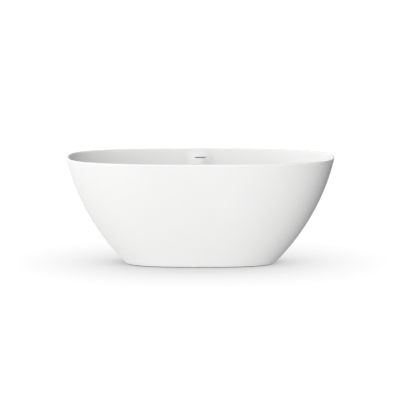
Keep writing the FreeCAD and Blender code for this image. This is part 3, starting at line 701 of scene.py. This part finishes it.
# Board screws. Zinc-plated pan heads with a cross recess hold the board down on the leg bars from below.
head_profile = ((0, 0.0875), (0.0007, 0.0875), (0.0014, 0.0875), (0.0021, 0.08755), (0.0028, 0.0877),
                (0.0036, 0.0881), (0.0042, 0.0887), (0.0045, 0.0894), (0.0045, 0.09), (0.0025, 0.09),
                (0.0025, 0.13), (0, 0.13))
head_steps = 24
screw_rows = (-0.260, 0.260)
screw_places = (-0.085, -0.040, 0.040, 0.085)
head_face = 0.0876       # the cross is pressed into what lies below this
recess_reach = 0.0022
recess_width = 0.0002
recess_depth = 0.0013
screws = bmesh.new()
for x in screw_rows:
    for y in screw_places:
        before = set(screws.verts)
        lathe(screws, head_profile, head_steps, (x, y))
        for vert in screws.verts:
            if vert not in before and vert.co.z < head_face:
                aside = min(abs(vert.co.x - x), abs(vert.co.y - y))
                reach = hypot(vert.co.x - x, vert.co.y - y)
                if reach < recess_reach and aside < recess_width:
                    vert.co.z += recess_depth
finish_piece(screws, "board_screws_cross_head", "tub", "zinc_steel", zinc, "board_screws")

# Cradle board and skirt blocks. Birch plywood, oiled: long grain on the faces, and pale and dark plies in
# turn on the sawn edges. The board is bonded under the well, and the blocks tie the skirt's foot to the bars.
ply_thickness = 0.00136
plywood = bpy.data.materials.new("plywood")
plywood.use_nodes = True
nodes, links = plywood.node_tree.nodes, plywood.node_tree.links
shader = nodes["Principled BSDF"]
place = add_node(nodes, "TexCoord")
stretch = add_node(nodes, "Mapping")
stretch.inputs["Scale"].default_value = (4.0, 70.0, 12.0)
fibre = add_node(nodes, "TexNoise")
fibre.inputs["Scale"].default_value = 1.6
fibre.inputs["Detail"].default_value = 8.0
fibre.inputs["Distortion"].default_value = 0.6
face_wood = add_node(nodes, "ValToRGB")
face_wood.color_ramp.elements[0].position = 0.35
face_wood.color_ramp.elements[0].color = (0.44, 0.29, 0.16, 1)
face_wood.color_ramp.elements[1].position = 0.62
face_wood.color_ramp.elements[1].color = (0.70, 0.53, 0.34, 1)
split = add_node(nodes, "SeparateXYZ")
plies = add_node(nodes, "Math", operation="DIVIDE")
plies.inputs[1].default_value = ply_thickness
alternate = add_node(nodes, "Math", operation="PINGPONG")
alternate.inputs[1].default_value = 1.0
edge_wood = add_node(nodes, "Mix", data_type="RGBA")
edge_wood.inputs["A"].default_value = (0.30, 0.18, 0.09, 1)
edge_wood.inputs["B"].default_value = (0.66, 0.49, 0.31, 1)
facing = add_node(nodes, "NewGeometry")
facing_split = add_node(nodes, "SeparateXYZ")
flatness = add_node(nodes, "Math", operation="ABSOLUTE")
is_face = add_node(nodes, "Math", operation="GREATER_THAN")
is_face.inputs[1].default_value = 0.5
wood = add_node(nodes, "Mix", data_type="RGBA")
sheen = add_node(nodes, "MapRange")
sheen.inputs["To Min"].default_value = 0.55
sheen.inputs["To Max"].default_value = 0.8
relief = add_node(nodes, "Bump")
relief.inputs["Strength"].default_value = 0.35
relief.inputs["Distance"].default_value = 0.0006
links.new(place.outputs["Object"], stretch.inputs["Vector"])
links.new(stretch.outputs[0], fibre.inputs["Vector"])
links.new(fibre.outputs["Fac"], face_wood.inputs[0])
links.new(place.outputs["Object"], split.inputs[0])
links.new(split.outputs["Z"], plies.inputs[0])
links.new(plies.outputs[0], alternate.inputs[0])
links.new(alternate.outputs[0], edge_wood.inputs["Factor"])
links.new(facing.outputs["Normal"], facing_split.inputs[0])
links.new(facing_split.outputs["Z"], flatness.inputs[0])
links.new(flatness.outputs[0], is_face.inputs[0])
links.new(is_face.outputs[0], wood.inputs["Factor"])
links.new(edge_wood.outputs["Result"], wood.inputs["A"])
links.new(face_wood.outputs["Color"], wood.inputs["B"])
links.new(wood.outputs["Result"], shader.inputs["Base Color"])
links.new(fibre.outputs["Fac"], sheen.inputs["Value"])
links.new(sheen.outputs[0], shader.inputs["Roughness"])
links.new(fibre.outputs["Fac"], relief.inputs["Height"])
links.new(relief.outputs[0], shader.inputs["Normal"])


def paint_nodes(paint, *names):
    """Gives CAD pieces whose shape is already right their material."""
    for name in names:
        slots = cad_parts[name].data.materials
        slots.clear()
        slots.append(paint)


paint_nodes(plywood, "base_board", "skirt_block_front_left", "skirt_block_front_right",
            "skirt_block_back_left", "skirt_block_back_right")

# Leg bars, nuts welded in them, screws in their ends and hose clips: zinc-plated steel as rolled or pressed,
# kept as they are in the frame.
paint_nodes(zinc, "leg_bar_left", "leg_bar_right", "weld_nuts", "block_screws", "upper_hose_clip",
            "lower_hose_clip")

# Latch spring. Zinc-plated spring wire coiled in the latch's housing: its foot stands on the housing's floor
# and its head carries the plug's stem. The real spring stretches as the plug rises, but this coil is fixed.
spring_foot = 0.105
spring_head = 0.119
wire_radius = 0.0005
coil_radius = 0.0044
coil_turns = 5
coil_steps = 24
coil_pitch = (spring_head - spring_foot - 2 * wire_radius) / coil_turns
coil = bmesh.new()
wire_start = Matrix.Translation((coil_radius, 0, spring_foot + wire_radius)) @ Matrix.Rotation(pi / 2, 4, "X")
bmesh.ops.create_circle(coil, segments=10, radius=wire_radius, matrix=wire_start)
bmesh.ops.spin(coil, geom=coil.verts[:] + coil.edges[:], axis=(0, 0, 1), dvec=(0, 0, coil_pitch / coil_steps),
               angle=2 * pi * coil_turns, steps=coil_steps * coil_turns)
bmesh.ops.edgeloop_fill(coil, edges=[edge for edge in coil.edges if edge.is_boundary])
bmesh.ops.recalc_face_normals(coil, faces=coil.faces)
spring = finish_piece(coil, "latch_coil", None, "zinc_steel", zinc, "latch_spring", sharp=40)
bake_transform(spring)

# Plug stem. Turned brass, dulled by water.
brass = new_finish("brass", (0.78, 0.60, 0.30), (0.60, 0.43, 0.19), 0.22, 0.42, 50.0, 900.0, 0.08,
                   Metallic=1.0)
paint_nodes(brass, "plug_stem")

# Seals of the waste, the overflow and the trap: moulded black rubber rings squeezed between their flanges.
paint_nodes(rubber, "flange_seal", "waste_body_seal", "overflow_seal", "union_seal", "outlet_seal")

# Waste body, trap, elbow and overflow box. Moulded white polypropylene with the fine texture of the mould,
# dusty where it comes near the floor. The latch's housing is a grey moulding in the flange's hub.
white_plastic = new_finish("white_plastic", (0.86, 0.865, 0.86), (0.79, 0.795, 0.79), 0.24, 0.36, 30.0,
                           1300.0, 0.06, 0.06)
grey_plastic = new_finish("grey_plastic", (0.38, 0.39, 0.40), (0.31, 0.32, 0.33), 0.42, 0.55, 30.0, 1300.0,
                          0.1)
paint_nodes(white_plastic, "waste_body", "trap_body", "trap_lid", "dip_tube", "union_nut", "outlet_elbow",
            "outlet_nut", "overflow_box")
paint_nodes(grey_plastic, "latch_housing")

# Overflow hose. Extruded flexible plastic, pushed on a spigot at each end and held by a clip there.
hose_plastic = new_finish("hose_plastic", (0.70, 0.71, 0.71), (0.61, 0.62, 0.62), 0.42, 0.6, 25.0, 1200.0,
                          0.08)
paint_nodes(hose_plastic, "overflow_hose")
